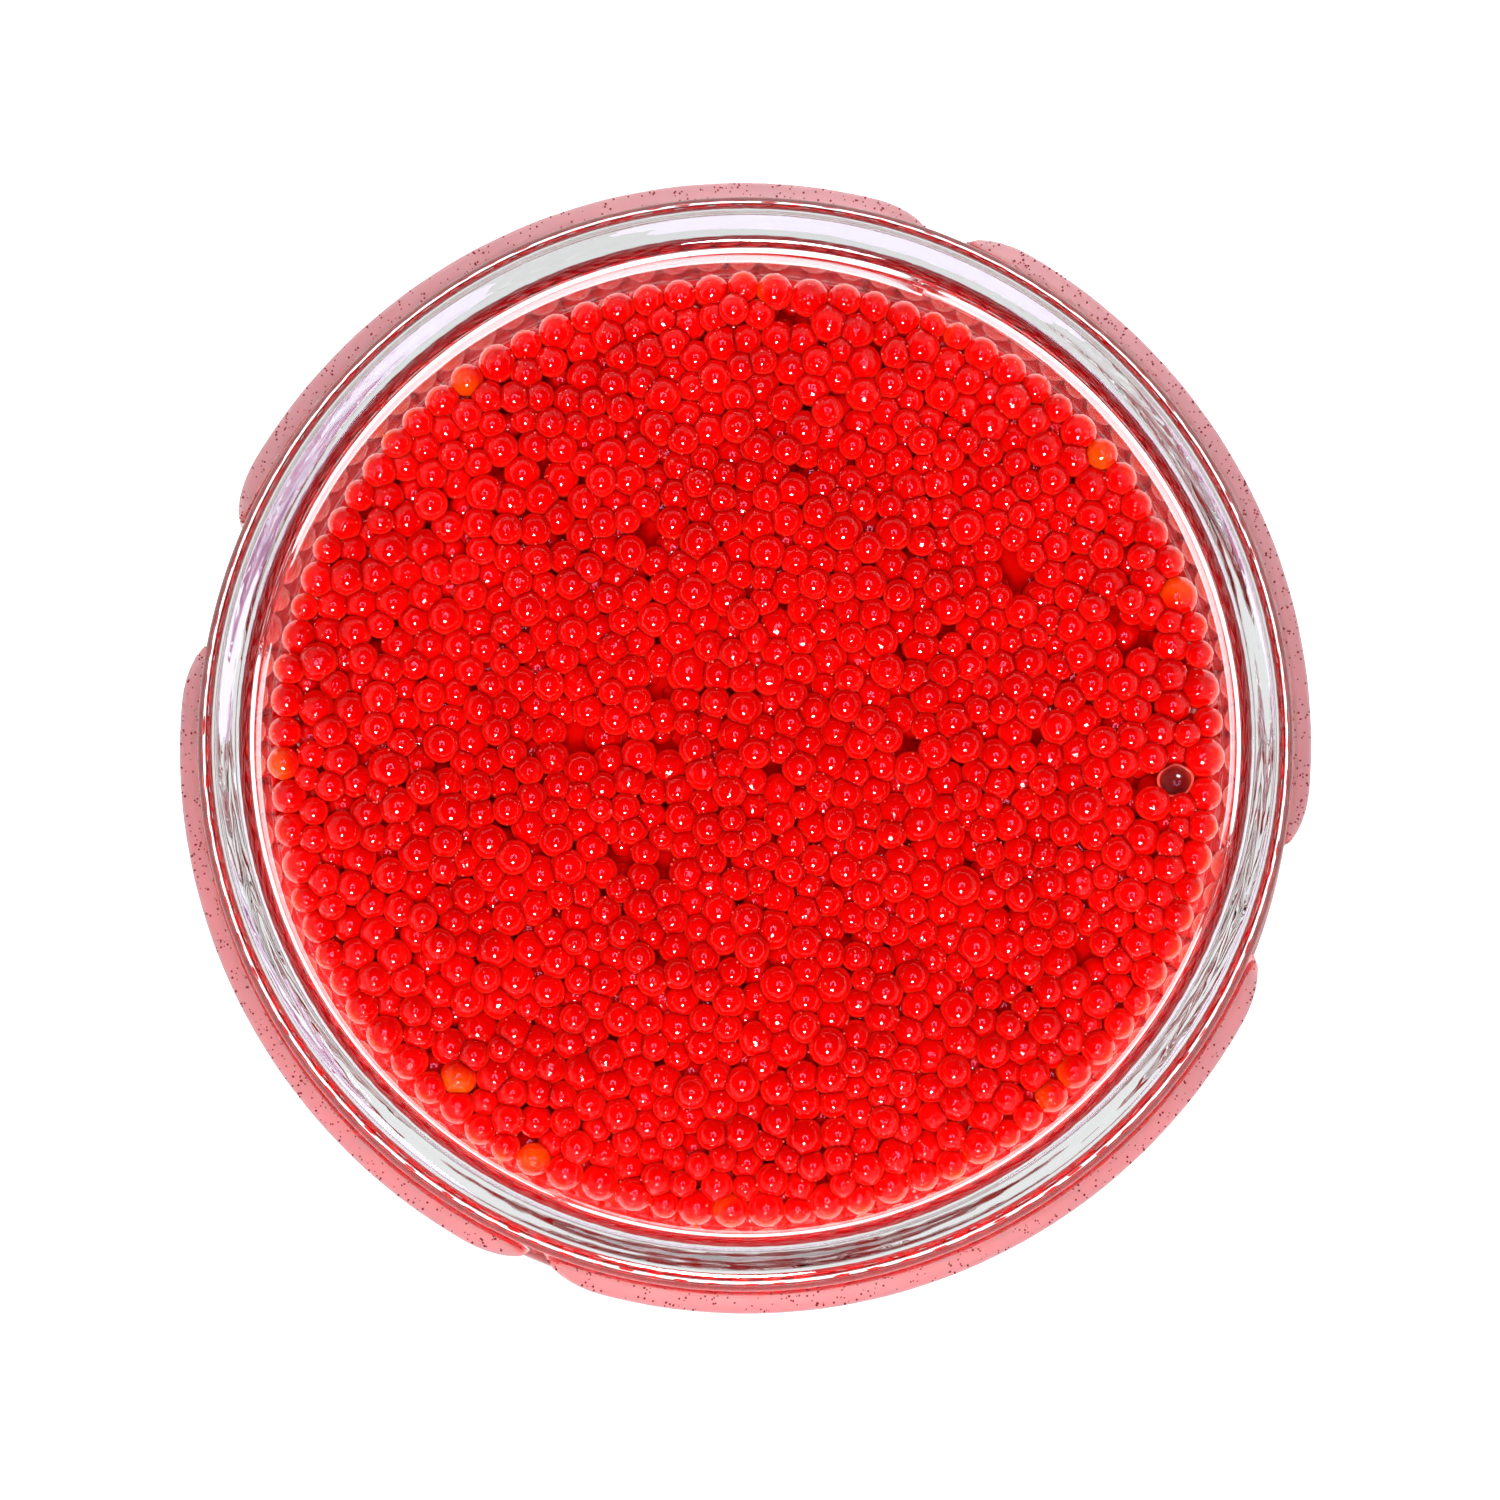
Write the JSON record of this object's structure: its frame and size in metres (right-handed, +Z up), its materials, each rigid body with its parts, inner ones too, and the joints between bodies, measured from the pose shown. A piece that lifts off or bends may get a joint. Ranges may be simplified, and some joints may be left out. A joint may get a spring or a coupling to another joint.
{
  "type": "jar of tobiko",
  "caption": "Open clear glass jar with a twist-off neck, squat and straight-sided, filled with red flying-fish roe to just below its rim.",
  "frame": {"origin": "centre of the ring that the jar stands on, in the plane of the surface under it", "axes": "+Z up along the jar's axis; seen from above, the thread leads climb counter-clockwise and lie 248 to 338, 349 to 67, 70 to 157 and 169 to 248 degrees from +X towards +Y"},
  "size_m": [0.057, 0.057, 0.052],
  "materials": {
    "glass": "clear soda-lime glass, fire-polished",
    "roe": "wet, translucent fish eggs"
  },
  "bodies": {
    "root": {"jar": "glass", "roe": "roe"}
  },
  "joints": []
}
